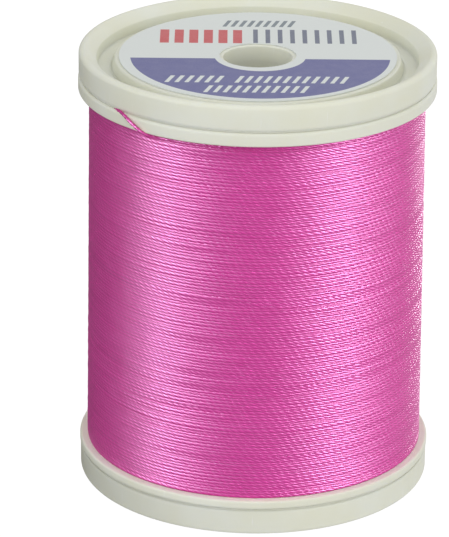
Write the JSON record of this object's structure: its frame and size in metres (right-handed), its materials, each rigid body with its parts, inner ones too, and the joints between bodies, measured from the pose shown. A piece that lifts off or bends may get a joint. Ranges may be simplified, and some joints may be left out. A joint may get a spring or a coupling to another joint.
{
  "type": "thread spool",
  "caption": "Ivory plastic snap spool wound with pink nylon rod-winding thread; the end rims snap open to catch the thread's tail.",
  "frame": {"origin": "on the spindle axis, on the plane that the bottom rim stands on", "axes": "+Z along the spindle axis towards the labelled top end; -Y is the side the thread's tail is seen from"},
  "size_m": [0.032, 0.032, 0.0405],
  "materials": {
    "ivory_plastic": "satin moulded",
    "label_paper": "coated",
    "nylon_thread": "silky twisted filament"
  },
  "bodies": {
    "spool_body": {"spool_barrel": "ivory_plastic", "top_cap_hub": "ivory_plastic", "top_cap_web": "ivory_plastic", "bottom_cap_hub": "ivory_plastic", "bottom_cap_web": "ivory_plastic", "top_label": "label_paper", "bottom_label": "label_paper", "thread_winding": "nylon_thread", "thread_tail": "nylon_thread"},
    "top_rim": {"top_cap_rim": "ivory_plastic"},
    "bottom_rim": {"bottom_cap_rim": "ivory_plastic"}
  },
  "joints": [
    {"name": "top_rim_snap", "type": "slide", "parent": "spool_body", "child": "top_rim", "axis": [0, 0, 1], "range_m": [0, 0.0012], "deforming": ["top_cap_web"]},
    {"name": "bottom_rim_snap", "type": "slide", "parent": "spool_body", "child": "bottom_rim", "axis": [0, 0, -1], "range_m": [0, 0.0012], "deforming": ["bottom_cap_web"]}
  ]
}
